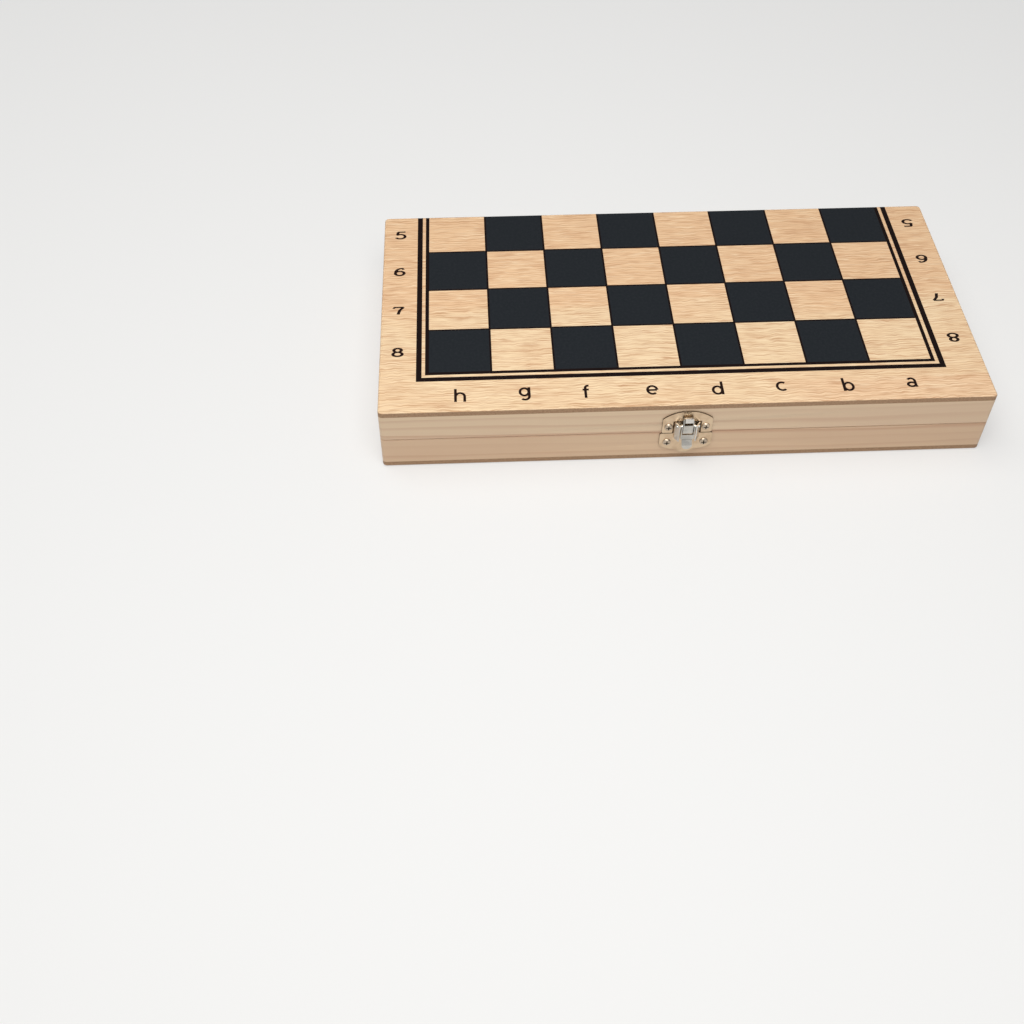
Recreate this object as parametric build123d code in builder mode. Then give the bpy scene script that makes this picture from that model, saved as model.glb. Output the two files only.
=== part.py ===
from build123d import *
import os
from math import atan2, cos, sin

os.makedirs("parts", exist_ok=True)

# Folding chess set: two shallow wooden trays hinged along one long edge. Closed, the halves of
# the board are the outsides of the lid and of the base. Origin: centre of the underside of the
# closed box. +X along the hinge line, +Y towards the hinges, +Z up, millimetres.

# Trays. Each half of the board is eight squares long and four deep. It reaches to the fold, with
# a margin at both ends and a wider one, for the letters, along the front
box_length = 240.0
side_margin = 19.9
front_margin = 21.4
half_height = 15.0
panel_thickness = 2.5
wall_thickness = 8.0
corner_radius = 1.6
panel_edge_bevel = 0.6
rim_bevel = 0.3

# Butt hinges
hinge_inset = 45.0
hinge_length = 18.0
leaf_width = 7.2
leaf_thickness = 0.7
barrel_radius = 1.4
pin_radius = 0.6
pin_clearance = 0.05
fold_gap = 0.3
barrel_relief = 0.3
knuckle_gap = 0.2
pocket_clearance = 0.1
hinge_screw_spread = 5.4
hinge_screw_inset = 4.6
hinge_screw_shank = 0.7
hinge_screw_head = 1.35
hinge_screw_length = 6.0
hinge_head_depth = 0.55
hinge_head_sink = 0.05
hinge_cross_width = 0.35
hinge_cross_span = 1.6
hinge_cross_depth = 0.3

# Latch plates, cut from sheet and screwed to the two front walls
sheet = 0.6
seam_gap = 0.15
catch_width = 19.6
catch_shoulder = 7.7
catch_crown = 11.7
base_width = 20.8
base_shoulder = 6.6
base_waist = 9.3
base_lobe_width = 7.2
base_lobe_drop = 11.0
base_shoulder_run = (-1, -0.9)
base_lobe_side = (2.5, 10.4)
latch_corner = 0.8
latch_screw_spread = 7.3
catch_screw_rise = 3.5
base_screw_drop = 5.0
latch_screw_shank = 0.9
latch_screw_head = 1.7
latch_head_height = 0.75
latch_head_flat = 0.9
latch_head_start = (-0.1, -1)
latch_screw_length = 6.5
cross_width = 0.45
cross_span = 2.0
cross_depth = 0.45
screw_clearance = 0.05

# Latch linkage seen from the side: "out" is measured from the front face, "rise" from the seam
pivot_out = 2.2
pivot_rise = 5.2
link_out = 1.65
link_foot_rise = 2.9
bar_rise = 8.8
bar_width = 0.7
bar_height = 0.8
bar_seat_gap = 0.2
hook_width = 3.1
hook_out = 3.2
hook_bend = 0.6
hook_tip_rise = 10.4
hook_slot_gap = 0.3
side_gap = 0.15
link_sheet = 0.45
link_leg = 0.4
link_face_out = 2.85
link_face_drop = 0.8
link_bend = 0.3
link_shoulder_round = 0.9
link_window_rise = 6.4
link_eye_radius = 0.95
link_pin_radius = 0.45
cheek = 0.45
cheek_round = 1.0
cheek_back = 0.9
rivet_radius = 0.5
rivet_reach = 4.6
ear_sheet = 0.5
ear_foot = 5.05
ear_top = 3.25
ear_out = 3.2
ear_drop = 2.2
ear_rise = 6.2
ear_notch_gap = 0.3
lever_out = 3.15
lever_face_top = 1.6
lever_face_drop = 0.9
fold_out = 2.6
fold_drop = 1.5
lip_out = 4.2
lip_turn_drop = 3.4
lip_tip_drop = 5.4
lip_width = 4.1
lip_bend = 0.5

# Chessmen, sized by the squares of the board and lying on their sides in the base tray
lying_gap = 0.06
man_gap = 0.5
wall_gap = 0.6
centre_strip = 25.0

closed_height = 2 * half_height
square = (box_length - 2 * side_margin) / 8
box_depth = 4 * square + front_margin
hinge_offset = box_length / 2 - hinge_inset
seam = half_height
front = -box_depth / 2
rear = box_depth / 2
fold_y = rear + fold_gap / 2
inner_depth = box_depth - 2 * wall_thickness
wall_height = half_height - panel_thickness
barrel_room = barrel_radius + barrel_relief
pilot_spare = 0.3


def write(name, built):
    """Name a finished piece and save it."""
    built.part.label = name
    export_step(built.part, f"parts/{name}.step")


def turn(plane, outline, mode=Mode.ADD):
    """Turn a closed outline of (radius, height) points about the plane's own Y axis."""
    with BuildSketch(plane) as profile:
        with BuildLine():
            Polyline(*outline, close=True)
        make_face()
    revolve(profile.sketch, axis=Axis(plane.origin, plane.y_dir), mode=mode)


# Board panels: one thin printed panel closes each tray, glued over the edges of its four walls
def board_panel(bottom, outer_side):
    with BuildPart() as panel:
        with BuildSketch(Plane.XY.offset(bottom)):
            RectangleRounded(box_length, box_depth, corner_radius)
        extrude(amount=panel_thickness)
        chamfer(panel.faces().sort_by(outer_side)[-1].edges(), panel_edge_bevel)
    return panel


write("lower_board_panel", board_panel(0, -Axis.Z))
write("upper_board_panel", board_panel(closed_height - panel_thickness, Axis.Z))

# Walls: strips of softwood. Only the outer edges of a rim are bevelled, which shows as the seam.
# rim_side is the direction in which the rim faces: up on the base, down on the lid
front_view = Plane.XZ.offset(-front)
latch_pilot = latch_screw_shank + screw_clearance
latch_pilot_depth = latch_screw_length + pilot_spare
catch_screw_places = [(side * latch_screw_spread, seam + catch_screw_rise) for side in (-1, 1)]
base_screw_places = [(side * latch_screw_spread, seam - base_screw_drop) for side in (-1, 1)]


def front_wall(bottom, rim_side, screw_places):
    """Full-length wall with rounded outer corners and pilot holes for a latch plate."""
    with BuildPart() as wall:
        with BuildSketch(Plane.XY.offset(bottom)):
            with Locations((0, front + wall_thickness / 2)):
                Rectangle(box_length, wall_thickness)
        extrude(amount=wall_height)
        fillet(wall.edges().filter_by(Axis.Z).group_by(Axis.Y)[0], corner_radius)
        rim = wall.faces().sort_by(rim_side)[-1]
        chamfer(rim.edges().sort_by(Axis.Y)[:-1], rim_bevel)
        with BuildSketch(front_view):
            with Locations(*screw_places):
                Circle(latch_pilot)
        extrude(amount=-latch_pilot_depth, mode=Mode.SUBTRACT)
    return wall


def side_wall(bottom, rim_side, out_side):
    """Short wall, butted between the front and rear walls."""
    with BuildPart() as wall:
        with BuildSketch(Plane.XY.offset(bottom)):
            with Locations((out_side.direction.X * (box_length - wall_thickness) / 2, 0)):
                Rectangle(wall_thickness, inner_depth)
        extrude(amount=wall_height)
        rim = wall.faces().sort_by(rim_side)[-1]
        chamfer(rim.edges().sort_by(out_side)[-1], rim_bevel)
    return wall


write("lower_front_wall", front_wall(panel_thickness, Axis.Z, base_screw_places))
write("upper_front_wall", front_wall(seam, -Axis.Z, catch_screw_places))
write("lower_left_wall", side_wall(panel_thickness, Axis.Z, -Axis.X))
write("lower_right_wall", side_wall(panel_thickness, Axis.Z, Axis.X))
write("upper_left_wall", side_wall(seam, -Axis.Z, -Axis.X))
write("upper_right_wall", side_wall(seam, -Axis.Z, Axis.X))

# Rear walls: the rim is let in for the hinge leaves and hollowed round the barrels
hinge_places = {"left": -hinge_offset, "right": hinge_offset}
leaf_pilot = hinge_screw_shank + screw_clearance
pocket_length = hinge_length + 2 * pocket_clearance
pocket_width = leaf_width + pocket_clearance


def hinge_screw_places(hinge):
    return [(hinge + side * hinge_screw_spread, fold_y - hinge_screw_inset) for side in (-1, 1)]


def rear_wall(bottom, rim_side):
    """Full-length wall with leaf pockets in its rim, pilot holes and barrel hollows."""
    into_wood = -rim_side.direction.Z
    with BuildPart() as wall:
        with BuildSketch(Plane.XY.offset(bottom)):
            with Locations((0, rear - wall_thickness / 2)):
                Rectangle(box_length, wall_thickness)
        extrude(amount=wall_height)
        fillet(wall.edges().filter_by(Axis.Z).group_by(Axis.Y)[-1], corner_radius)
        rim = wall.faces().sort_by(rim_side)[-1]
        chamfer(rim.edges().sort_by(Axis.Y)[1:], rim_bevel)
        for hinge in hinge_places.values():
            with BuildSketch(Plane.XY.offset(seam)):
                with Locations((hinge, fold_y - pocket_width / 2)):
                    Rectangle(pocket_length, pocket_width)
            extrude(amount=into_wood * leaf_thickness, mode=Mode.SUBTRACT)
            with BuildSketch(Plane.YZ.offset(hinge)):
                with Locations((fold_y, seam)):
                    Circle(barrel_room)
            extrude(amount=pocket_length / 2, both=True, mode=Mode.SUBTRACT)
            with BuildSketch(Plane.XY.offset(seam)):
                with Locations(*hinge_screw_places(hinge)):
                    Circle(leaf_pilot)
            extrude(amount=into_wood * (hinge_screw_length + pilot_spare), mode=Mode.SUBTRACT)
    return wall


write("lower_rear_wall", rear_wall(panel_thickness, Axis.Z))
write("upper_rear_wall", rear_wall(seam, -Axis.Z))

# Hinges: the lower leaf carries the two outer knuckles and the upper leaf the middle one. Each
# plate is cut back round the other leaf's knuckles, so that the closed leaves lie face to face
knuckle_pitch = hinge_length / 3
middle_knuckle = [(0, knuckle_pitch - knuckle_gap)]
outer_knuckles = [(side * knuckle_pitch, knuckle_pitch) for side in (-1, 1)]


def screw_plane(x, y, z, head_side):
    """Plane whose Y axis runs along a screw towards its head."""
    return Plane(origin=(x, y, z), x_dir=(1, 0, 0), z_dir=(0, -head_side, 0))


def hinge_leaf(hinge, own_knuckles, other_knuckles, rim_side):
    into_wood = -rim_side
    with BuildPart() as leaf:
        with BuildSketch(Plane.XY.offset(seam)):
            with Locations((hinge, fold_y - leaf_width / 2)):
                Rectangle(hinge_length, leaf_width)
        extrude(amount=into_wood * leaf_thickness)
        for shift, length in other_knuckles:
            with BuildSketch(Plane.YZ.offset(hinge + shift)):
                with Locations((fold_y, seam)):
                    Circle(barrel_radius + knuckle_gap)
            extrude(amount=length / 2 + knuckle_gap, both=True, mode=Mode.SUBTRACT)
        for shift, length in own_knuckles:
            with BuildSketch(Plane.YZ.offset(hinge + shift)):
                with Locations((fold_y, seam)):
                    Circle(barrel_radius)
            extrude(amount=length / 2, both=True)
        with BuildSketch(Plane.YZ.offset(hinge)):
            with Locations((fold_y, seam)):
                Circle(pin_radius + pin_clearance)
        extrude(amount=hinge_length, both=True, mode=Mode.SUBTRACT)
        mouth = hinge_screw_head + screw_clearance
        throat = -hinge_head_sink - hinge_head_depth
        for x, y in hinge_screw_places(hinge):
            countersink = [(0, 0), (mouth, 0), (mouth, -hinge_head_sink), (leaf_pilot, throat)]
            bore = [(leaf_pilot, -2 * leaf_thickness), (0, -2 * leaf_thickness)]
            turn(screw_plane(x, y, seam, rim_side), countersink + bore, Mode.SUBTRACT)
    return leaf


for side_name, hinge in hinge_places.items():
    lower_leaf = hinge_leaf(hinge, outer_knuckles, middle_knuckle, 1)
    upper_leaf = hinge_leaf(hinge, middle_knuckle, outer_knuckles, -1)
    write(f"{side_name}_hinge_lower_leaf", lower_leaf)
    write(f"{side_name}_hinge_upper_leaf", upper_leaf)
    with BuildPart() as hinge_pin:
        with BuildSketch(Plane.YZ.offset(hinge)):
            with Locations((fold_y, seam)):
                Circle(pin_radius)
        extrude(amount=hinge_length / 2, both=True)
    write(f"{side_name}_hinge_pin", hinge_pin)

hinge_screw_outline = [
    (0, -hinge_head_sink),
    (hinge_screw_head, -hinge_head_sink),
    (hinge_screw_shank, -hinge_head_sink - hinge_head_depth),
    (hinge_screw_shank, -hinge_screw_length + 2 * hinge_screw_shank),
    (0, -hinge_screw_length),
]


def hinge_screws(rim_side):
    """The four countersunk screws of one tray's two hinge leaves, with a cross in each head."""
    head_top = Plane.XY.offset(seam - rim_side * hinge_head_sink)
    with BuildPart() as screws:
        for hinge in hinge_places.values():
            for x, y in hinge_screw_places(hinge):
                turn(screw_plane(x, y, seam, rim_side), hinge_screw_outline)
                with BuildSketch(head_top):
                    with Locations((x, y)):
                        Rectangle(hinge_cross_width, hinge_cross_span)
                        Rectangle(hinge_cross_span, hinge_cross_width)
                extrude(amount=-rim_side * hinge_cross_depth, mode=Mode.SUBTRACT)
    return screws


write("lower_hinge_screws", hinge_screws(1))
write("upper_hinge_screws", hinge_screws(-1))

# Latch: an over-centre draw latch. The base plate's two leaning ears carry the lever, the lever
# carries the link, and the bar at the link's top pulls down in the hook of the catch plate
side_view = Plane(origin=(0, front, 0), x_dir=(0, -1, 0), z_dir=(-1, 0, 0))
pivot = (pivot_out, seam + pivot_rise)
link_foot = (link_out, seam + link_foot_rise)
bar = (link_out, seam + bar_rise)
link_half = hook_width / 2 + side_gap + link_leg
cheek_inner = link_half + side_gap
lever_half = cheek_inner + cheek
notch_half = ear_foot + ear_sheet / 2 + ear_notch_gap
notch_top = seam + ear_rise + ear_notch_gap
hook_floor = bar[1] - bar_height / 2 - bar_seat_gap - sheet / 2


def side_cut(centre, radius, reach, mode):
    """Round bar or hole across the latch, at a place in the side view."""
    with BuildSketch(side_view) as section:
        with Locations(centre):
            Circle(radius)
    extrude(section.sketch, amount=reach, both=True, mode=mode)


def bent_strip(points, bend, thickness, half_width):
    """Strip of sheet bent along a centre line in the side view."""
    with BuildSketch(side_view) as section:
        with BuildLine() as path:
            FilletPolyline(*points, radius=bend)
        trace(path.line, line_width=thickness)
    extrude(section.sketch, amount=half_width, both=True)


# Catch plate: arched top, a notch round the ears, and a tongue bent out and up into a hook
crown = seam + catch_crown
shoulder = seam + catch_shoulder
with BuildPart() as catch_plate:
    with BuildSketch(front_view) as arch:
        with BuildLine():
            ThreePointArc((-catch_width / 2, shoulder), (0, crown), (catch_width / 2, shoulder))
            Line((catch_width / 2, shoulder), (catch_width / 2, seam + seam_gap))
            Line((catch_width / 2, seam + seam_gap), (-catch_width / 2, seam + seam_gap))
            Line((-catch_width / 2, seam + seam_gap), (-catch_width / 2, shoulder))
        make_face()
        fillet(arch.vertices(), latch_corner)
        with Locations((0, notch_top - half_height / 2)):
            Rectangle(2 * notch_half, half_height, mode=Mode.SUBTRACT)
        slot_top = hook_floor + hook_bend + sheet / 2
        with Locations((0, slot_top - half_height / 2)):
            Rectangle(hook_width + 2 * hook_slot_gap, half_height, mode=Mode.SUBTRACT)
        with Locations(*catch_screw_places):
            Circle(latch_pilot, mode=Mode.SUBTRACT)
    extrude(amount=sheet)
    hook_path = [
        (sheet / 2, slot_top + sheet),
        (sheet / 2, hook_floor),
        (hook_out, hook_floor),
        (hook_out, seam + hook_tip_rise),
    ]
    bent_strip(hook_path, hook_bend, sheet, hook_width / 2)
write("latch_catch_plate", catch_plate)

# Base plate: a shield with a round lobe below, a tall back between the ears, and the two ears
base_top = seam - seam_gap
with BuildPart() as base_plate:
    with BuildSketch(front_view) as shield:
        with BuildLine():
            Polyline((0, base_top), (base_width / 2, base_top), (base_width / 2, seam - base_shoulder))
            TangentArc(
                (base_width / 2, seam - base_shoulder),
                (base_lobe_width / 2, seam - base_waist),
                tangent=base_shoulder_run,
            )
            ThreePointArc(
                (base_lobe_width / 2, seam - base_waist),
                (base_lobe_side[0], seam - base_lobe_side[1]),
                (0, seam - base_lobe_drop),
            )
            Line((0, seam - base_lobe_drop), (0, base_top))
        make_face()
        mirror(about=Plane.YZ)
        outer_corners = shield.vertices().group_by(Axis.X)
        fillet(outer_corners[0] + outer_corners[-1], latch_corner)
        with Locations((0, seam + (ear_rise - base_shoulder) / 2)):
            Rectangle(2 * ear_foot, ear_rise + base_shoulder)
        with Locations(*base_screw_places):
            Circle(latch_pilot, mode=Mode.SUBTRACT)
    extrude(amount=sheet)
    with BuildSketch(Plane.XY.offset(seam - ear_drop)):
        for side in (-1, 1):
            with BuildLine() as ear_line:
                Polyline(
                    (side * (ear_foot - sheet), front - sheet / 2),
                    (side * ear_foot, front - sheet / 2),
                    (side * ear_top, front - ear_out),
                )
            trace(ear_line.line, line_width=ear_sheet)
    extrude(amount=ear_rise + ear_drop)
    side_cut(pivot, rivet_radius + pin_clearance, ear_foot, Mode.SUBTRACT)
write("latch_base_plate", base_plate)


# Latch screws: domed heads with a cross, two in each plate
def latch_screws(places):
    with BuildPart() as screws:
        for x, z in places:
            screw = Plane(origin=(x, front - sheet, z), x_dir=(1, 0, 0), z_dir=(0, 0, 1))
            with BuildSketch(screw):
                with BuildLine():
                    Polyline(
                        (latch_head_flat, -latch_head_height),
                        (0, -latch_head_height),
                        (0, latch_screw_length),
                        (latch_screw_shank, latch_screw_length - 2 * latch_screw_shank),
                        (latch_screw_shank, 0),
                        (latch_screw_head, 0),
                    )
                    TangentArc(
                        (latch_screw_head, 0),
                        (latch_head_flat, -latch_head_height),
                        tangent=latch_head_start,
                    )
                make_face()
            revolve(axis=Axis(screw.origin, screw.y_dir))
            with BuildSketch(front_view.offset(sheet + latch_head_height)):
                with Locations((x, z)):
                    Rectangle(cross_width, cross_span)
                    Rectangle(cross_span, cross_width)
            extrude(amount=-cross_depth, mode=Mode.SUBTRACT)
    return screws


write("latch_catch_screws", latch_screws(catch_screw_places))
write("latch_base_screws", latch_screws(base_screw_places))

# Lever: a channel whose cheeks straddle the link, with the finger lip folded out at the bottom
face_top = seam + lever_face_top
face_bottom = seam - lever_face_drop
lever_path = [
    (lever_out, face_top),
    (lever_out, face_bottom),
    (fold_out, seam - fold_drop),
    (lip_out, seam - lip_turn_drop),
    (lip_out, seam - lip_tip_drop),
]
with BuildPart() as lever:
    bent_strip(lever_path, lip_bend, cheek, lever_half)
    lip_length = face_bottom - seam + lip_tip_drop + lip_width
    with BuildSketch(front_view):
        with Locations((0, (face_top + face_bottom) / 2)):
            Rectangle(2 * lever_half, face_top - face_bottom)
        with Locations((0, seam - lip_tip_drop + lip_length / 2)):
            SlotOverall(lip_length, lip_width, rotation=90)
    extrude(amount=2 * lip_out, mode=Mode.INTERSECT)
    for side in (-1, 1):
        with BuildSketch(side_view.offset(side * cheek_inner)):
            with Locations(pivot):
                Circle(cheek_round)
            lever_front = lever_out + cheek / 2
            with Locations(((cheek_back + lever_front) / 2, (face_top + face_bottom) / 2)):
                Rectangle(lever_front - cheek_back, face_top - face_bottom)
            make_hull()
        extrude(amount=side * cheek)
    side_cut(pivot, rivet_radius, lever_half, Mode.SUBTRACT)
    side_cut(link_foot, link_pin_radius, lever_half, Mode.SUBTRACT)
write("latch_lever", lever)

with BuildPart() as lever_rivets:
    side_cut(pivot, rivet_radius, rivet_reach, Mode.ADD)
    with BuildSketch(side_view):
        with Locations(pivot):
            Circle(2 * rivet_radius)
    extrude(amount=cheek_inner, both=True, mode=Mode.SUBTRACT)
write("latch_lever_rivets", lever_rivets)

# Link: a strap folded into a channel, with an eye in the foot of each side. The hook reaches out
# through the window above its face, and the bar over the window lies in the hook
bar_top = bar[1] + bar_height / 2
link_face_bottom = link_foot[1] - link_face_drop
link_face_height = seam + link_window_rise - link_face_bottom
link_face = (link_face_out, link_face_bottom + link_face_height / 2)
with BuildPart() as link:
    with BuildSketch(side_view) as link_side:
        with Locations(link_foot):
            Circle(link_eye_radius)
        with Locations(link_face):
            Rectangle(link_sheet, link_face_height)
        with Locations(bar):
            Rectangle(bar_width, bar_height)
        make_hull()
    extrude(amount=link_half, both=True)
    extrude(link_side.sketch, amount=link_half - link_leg, both=True, mode=Mode.SUBTRACT)
    with BuildSketch(side_view):
        with Locations(link_face):
            Rectangle(link_sheet, link_face_height)
        with Locations(bar):
            Rectangle(bar_width, bar_height)
    extrude(amount=link_half, both=True)
    fillet(link.edges().filter_by(Axis.Z).group_by(Axis.Y)[0], link_bend)
    with BuildSketch(front_view) as link_outline:
        with Locations((0, (link_foot[1] + bar_top) / 2)):
            Rectangle(2 * link_half, bar_top - link_foot[1])
        fillet(link_outline.vertices().group_by(Axis.Z)[-1], link_shoulder_round)
        with Locations((0, link_foot[1])):
            Rectangle(2 * link_half, 2 * link_eye_radius)
    extrude(amount=2 * link_face_out, mode=Mode.INTERSECT)
    side_cut(link_foot, link_pin_radius + pin_clearance, link_half, Mode.SUBTRACT)
write("latch_link", link)

with BuildPart() as link_pin:
    side_cut(link_foot, link_pin_radius, lever_half, Mode.ADD)
write("latch_link_pin", link_pin)

# Chessmen: turned from wood, with the knights' heads sawn from board. Each row of ratios runs
# from the rim of the foot upwards in steps of (radius, rise, bulge). Radius and bulge are shares
# of the foot's radius, rise is a share of the height, and a hollow curve has a negative bulge
floor = panel_thickness + lying_gap
royal_foot = 0.358 * square
officer_foot = 0.318 * square
pawn_foot = 0.27 * square
king_height = 1.98 * square
queen_height = 1.79 * square
bishop_height = 1.59 * square
knight_height = 1.43 * square
rook_height = 1.27 * square
pawn_height = 1.07 * square
royal_ratios = [
    (1, 0.055, 0),
    (0.76, 0.1, 0),
    (0.42, 0.36, -0.09),
    (0.34, 0.61, 0),
    (0.66, 0.64, 0),
    (0.66, 0.665, 0),
    (0.38, 0.7, 0),
]
king_ratios = royal_ratios + [(0.6, 0.86, 0), (0.52, 0.885, 0), (0.14, 0.91, 0), (0, 0.91, 0)]
queen_ratios = royal_ratios + [(0.64, 0.92, -0.06), (0.5, 0.94, 0), (0.1, 0.96, 0), (0, 0.96, 0)]
bishop_ratios = [
    (1, 0.065, 0),
    (0.76, 0.12, 0),
    (0.38, 0.4, -0.08),
    (0.32, 0.57, 0),
    (0.64, 0.6, 0),
    (0.64, 0.63, 0),
    (0.34, 0.66, 0),
    (0.55, 0.78, 0),
    (0.12, 0.95, 0.1),
    (0, 0.95, 0),
]
rook_ratios = [
    (1, 0.08, 0),
    (0.78, 0.15, 0),
    (0.52, 0.45, -0.06),
    (0.5, 0.68, 0),
    (0.74, 0.75, 0),
    (0.74, 1, 0),
    (0.5, 1, 0),
    (0.5, 0.88, 0),
    (0, 0.88, 0),
]
pawn_ratios = [
    (1, 0.09, 0),
    (0.76, 0.17, 0),
    (0.42, 0.42, -0.08),
    (0.36, 0.59, 0),
    (0.66, 0.63, 0),
    (0.66, 0.66, 0),
    (0.36, 0.69, 0),
    (0.36, 0.84, 0),
    (0, 0.84, 0),
]
knight_foot_ratios = [(1, 0.07, 0), (0.78, 0.13, 0), (0.64, 0.27, 0), (0, 0.27, 0)]

# Outline of the knight's head: x in shares of the foot's radius, y in shares of the head's height
mane_ratios = [(-0.56, 0), (-0.7, 0.45), (-0.2, 0.83)]
face_ratios = [(-0.2, 0.83), (-0.1, 1), (0.12, 0.87), (0.84, 0.62), (0.75, 0.48), (0.25, 0.5)]
chest_ratios = [(0.25, 0.5), (0.52, 0.28), (0.56, 0)]


def turned(ratios, foot, height, ball=0):
    """Turn a standing man, with a ball at its top if it has one. Returns the angle by which its
    axis dips when it lies on its side, on the rim of its foot and on one place beyond."""
    rim = ratios[0][1] * height
    last = (foot, rim)
    with BuildSketch(Plane.XZ) as half:
        with BuildLine():
            Polyline((0, 0), (foot, 0), last)
            for radius, rise, bulge in ratios[1:]:
                ring = (radius * foot, rise * height)
                if bulge:
                    SagittaArc(last, ring, -bulge * foot)
                else:
                    Line(last, ring)
                last = ring
            Line(last, (0, 0))
        make_face()
    revolve(half.sketch, axis=Axis.Z)
    points = [edge @ (step / 8) for edge in half.sketch.edges() for step in range(9)]
    if ball:
        with Locations((0, 0, height - ball)):
            Sphere(ball)
        points.append(Vector(ball, 0, height - ball))
    return min(atan2(foot - p.X, p.Z - rim) for p in points if p.Z > rim + lying_gap)


with BuildPart() as king:
    king_dip = turned(king_ratios, royal_foot, king_height)
    cross_arm = 0.12 * royal_foot
    cross_foot = 0.9 * king_height
    with BuildSketch(Plane.XZ):
        with Locations((0, (cross_foot + king_height) / 2)):
            Rectangle(2 * cross_arm, king_height - cross_foot)
            Rectangle(0.6 * royal_foot, 2 * cross_arm)
    extrude(amount=cross_arm, both=True)

with BuildPart() as queen:
    queen_dip = turned(queen_ratios, royal_foot, queen_height, 0.15 * royal_foot)

with BuildPart() as bishop:
    bishop_dip = turned(bishop_ratios, officer_foot, bishop_height, 0.16 * officer_foot)
    with BuildSketch(Plane.XZ):
        with Locations((0.42 * officer_foot, 0.86 * bishop_height)):
            Rectangle(0.12 * officer_foot, 0.9 * officer_foot, rotation=-35)
    extrude(amount=officer_foot, both=True, mode=Mode.SUBTRACT)

with BuildPart() as rook:
    rook_dip = turned(rook_ratios, officer_foot, rook_height)
    with BuildSketch(Plane.XY.offset(rook_height)):
        Rectangle(2 * officer_foot, 0.26 * officer_foot)
        Rectangle(0.26 * officer_foot, 2 * officer_foot)
    extrude(amount=-0.1 * rook_height, mode=Mode.SUBTRACT)

with BuildPart() as knight:
    turned(knight_foot_ratios, officer_foot, knight_height)
    neck_foot = 0.26 * knight_height
    half_head = 0.4 * officer_foot
    mane, face, chest = [
        [(x * officer_foot, neck_foot + y * (knight_height - neck_foot)) for x, y in ratios]
        for ratios in (mane_ratios, face_ratios, chest_ratios)
    ]
    with BuildSketch(Plane.XZ):
        with BuildLine():
            ThreePointArc(*mane)
            Polyline(*face)
            ThreePointArc(*chest)
            Line(chest[-1], mane[0])
        make_face()
    extrude(amount=half_head, both=True)
    knight_rim = knight_foot_ratios[0][1] * knight_height
    knight_dip = atan2(officer_foot - half_head, knight_height - knight_rim)

with BuildPart() as pawn:
    pawn_dip = turned(pawn_ratios, pawn_foot, pawn_height, 0.62 * pawn_foot)

# Kind of man: the piece, its foot's radius, its rim's height and the dip of its axis as it lies
men = {
    "king": (king, royal_foot, royal_ratios[0][1] * king_height, king_dip),
    "queen": (queen, royal_foot, royal_ratios[0][1] * queen_height, queen_dip),
    "bishop": (bishop, officer_foot, bishop_ratios[0][1] * bishop_height, bishop_dip),
    "knight": (knight, officer_foot, knight_rim, knight_dip),
    "rook": (rook, officer_foot, rook_ratios[0][1] * rook_height, rook_dip),
    "pawn": (pawn, pawn_foot, pawn_ratios[0][1] * pawn_height, pawn_dip),
}

# Columns of men across the tray, from the middle outwards. Each has a man with its foot at the
# front wall, one with its foot at the rear wall and, where there is room, one between the two
columns = [
    (royal_foot, ["king", "queen"]),
    (officer_foot, ["bishop", "bishop"]),
    (officer_foot, ["knight", "rook", "pawn"]),
    (officer_foot, ["rook", "knight", "pawn"]),
    (pawn_foot, ["pawn", "pawn", "pawn"]),
    (pawn_foot, ["pawn", "pawn", "pawn"]),
]


def lay(kind, x, foot_y, heading):
    """Lay a man down with its foot at foot_y and its head towards the rear (1) or front (-1)."""
    man, foot, rim, dip = men[kind]
    axis_height = floor + foot * cos(dip) + rim * sin(dip)
    bed = Plane(
        origin=(x, foot_y + heading * foot * sin(dip), axis_height),
        x_dir=(heading, 0, 0),
        z_dir=(0, heading * cos(dip), -sin(dip)),
    )
    with BuildPart() as lying_man:
        with Locations(bed.location):
            add(man.part)
    return lying_man


for colour, side in {"white": -1, "black": 1}.items():
    counts = {}
    edge = centre_strip / 2
    foot_line = inner_depth / 2 - wall_gap
    for foot, column in columns:
        x = side * (edge + foot)
        edge += 2 * foot + man_gap
        places = [(-foot_line, 1), (foot_line, -1), (-pawn_height / 2, 1)]
        for kind, (foot_y, heading) in zip(column, places):
            counts[kind] = counts.get(kind, 0) + 1
            name = f"{colour}_{kind}" if kind in ("king", "queen") else f"{colour}_{kind}_{counts[kind]}"
            write(name, lay(kind, x, foot_y, heading))
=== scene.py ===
import math

import bmesh
import bpy
import numpy as np
from mathutils import Matrix, Vector


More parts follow.
